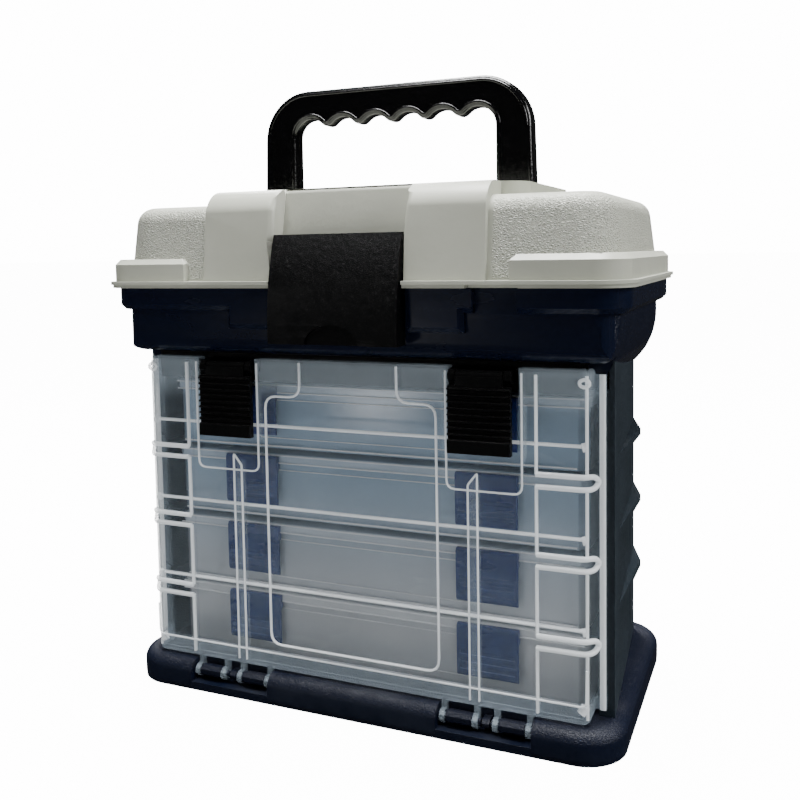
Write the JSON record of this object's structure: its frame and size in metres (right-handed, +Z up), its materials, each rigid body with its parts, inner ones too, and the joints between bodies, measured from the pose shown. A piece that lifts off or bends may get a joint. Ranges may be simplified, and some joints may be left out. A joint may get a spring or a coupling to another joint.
{
  "type": "fishing tackle cabinet",
  "caption": "Carry cabinet for fishing tackle: domed lid over a tub, folding handle, and a clear drop-down door in front of stacked tackle trays.",
  "frame": {"origin": "middle of the overall box on the ground plane, under the plinth", "axes": "+X to the right, +Y to the back, +Z up; the clear door faces -Y"},
  "size_m": [0.267, 0.1556, 0.3075],
  "materials": {
    "navy_plastic": "moulded polypropylene with leather grain on the side faces",
    "grey_plastic": "moulded polypropylene, fine grain and smooth bands",
    "black_plastic": "fine grained moulding",
    "gloss_black": "glossy moulding",
    "clear_door": "clear polypropylene with frosted bands",
    "clear_tray": "translucent polypropylene",
    "blue_plastic": "smooth moulding",
    "steel_rod": "drawn"
  },
  "bodies": {
    "cabinet": {"base_plinth": "navy_plastic", "side_panel_left": "navy_plastic", "side_panel_right": "navy_plastic", "back_panel": "navy_plastic", "upper_tub": "navy_plastic", "door_header": "black_plastic", "lid_hinge_rods": "steel_rod"},
    "lid": {"lid_shell": "grey_plastic"},
    "handle": {"handle": "gloss_black"},
    "lid_latch": {"lid_latch": "black_plastic"},
    "door": {"door_panel": "clear_door"},
    "door_latch_left": {"door_latch_left": "black_plastic"},
    "door_latch_right": {"door_latch_right": "black_plastic"},
    "tray_1": {"tray_1_box": "clear_tray", "tray_1_lid": "clear_tray", "tray_1_dividers": "clear_tray", "tray_1_snaps": "blue_plastic"},
    "tray_2": {"tray_2_box": "clear_tray", "tray_2_lid": "clear_tray", "tray_2_dividers": "clear_tray", "tray_2_snaps": "blue_plastic"},
    "tray_3": {"tray_3_box": "clear_tray", "tray_3_lid": "clear_tray", "tray_3_dividers": "clear_tray", "tray_3_snaps": "blue_plastic"},
    "tray_4": {"tray_4_box": "clear_tray", "tray_4_lid": "clear_tray", "tray_4_dividers": "clear_tray", "tray_4_snaps": "blue_plastic"}
  },
  "joints": [
    {"name": "lid_hinge", "type": "hinge", "parent": "cabinet", "child": "lid", "pos_m": [0, 0.0745, 0.20505], "axis": [-1, 0, 0], "range_deg": [0, 100]},
    {"name": "handle_fold", "type": "hinge", "parent": "lid", "child": "handle", "pos_m": [0, 0, 0.246], "axis": [-1, 0, 0], "range_deg": [0, 90]},
    {"name": "lid_latch_swing", "type": "hinge", "parent": "lid", "child": "lid_latch", "pos_m": [0, -0.0662, 0.226], "axis": [-1, 0, 0], "range_deg": [0, 90]},
    {"name": "door_hinge", "type": "hinge", "parent": "cabinet", "child": "door", "pos_m": [0, -0.0625, 0.009], "axis": [1, 0, 0], "range_deg": [0, 92]},
    {"name": "door_latch_left_swing", "type": "hinge", "parent": "cabinet", "child": "door_latch_left", "pos_m": [-0.0655, -0.062, 0.166], "axis": [-1, 0, 0], "range_deg": [0, 108]},
    {"name": "door_latch_right_swing", "type": "hinge", "parent": "cabinet", "child": "door_latch_right", "pos_m": [0.0655, -0.062, 0.166], "axis": [-1, 0, 0], "range_deg": [0, 108]},
    {"name": "tray_1_slide", "type": "slide", "parent": "cabinet", "child": "tray_1", "axis": [0, -1, 0], "range_m": [0, 0.05]},
    {"name": "tray_2_slide", "type": "slide", "parent": "cabinet", "child": "tray_2", "axis": [0, -1, 0], "range_m": [0, 0.066]},
    {"name": "tray_3_slide", "type": "slide", "parent": "cabinet", "child": "tray_3", "axis": [0, -1, 0], "range_m": [0, 0.066]},
    {"name": "tray_4_slide", "type": "slide", "parent": "cabinet", "child": "tray_4", "axis": [0, -1, 0], "range_m": [0, 0.024]}
  ],
  "couplings": [
    {"joint": "door_latch_left_swing", "follows": "door_hinge", "ratio": 1.15},
    {"joint": "door_latch_right_swing", "follows": "door_hinge", "ratio": 1.15},
    {"joint": "tray_1_slide", "follows": "door_hinge", "m_per_rad": 0.03},
    {"joint": "tray_2_slide", "follows": "door_hinge", "m_per_rad": 0.04},
    {"joint": "tray_3_slide", "follows": "door_hinge", "m_per_rad": 0.04},
    {"joint": "tray_4_slide", "follows": "door_hinge", "m_per_rad": 0.014}
  ]
}
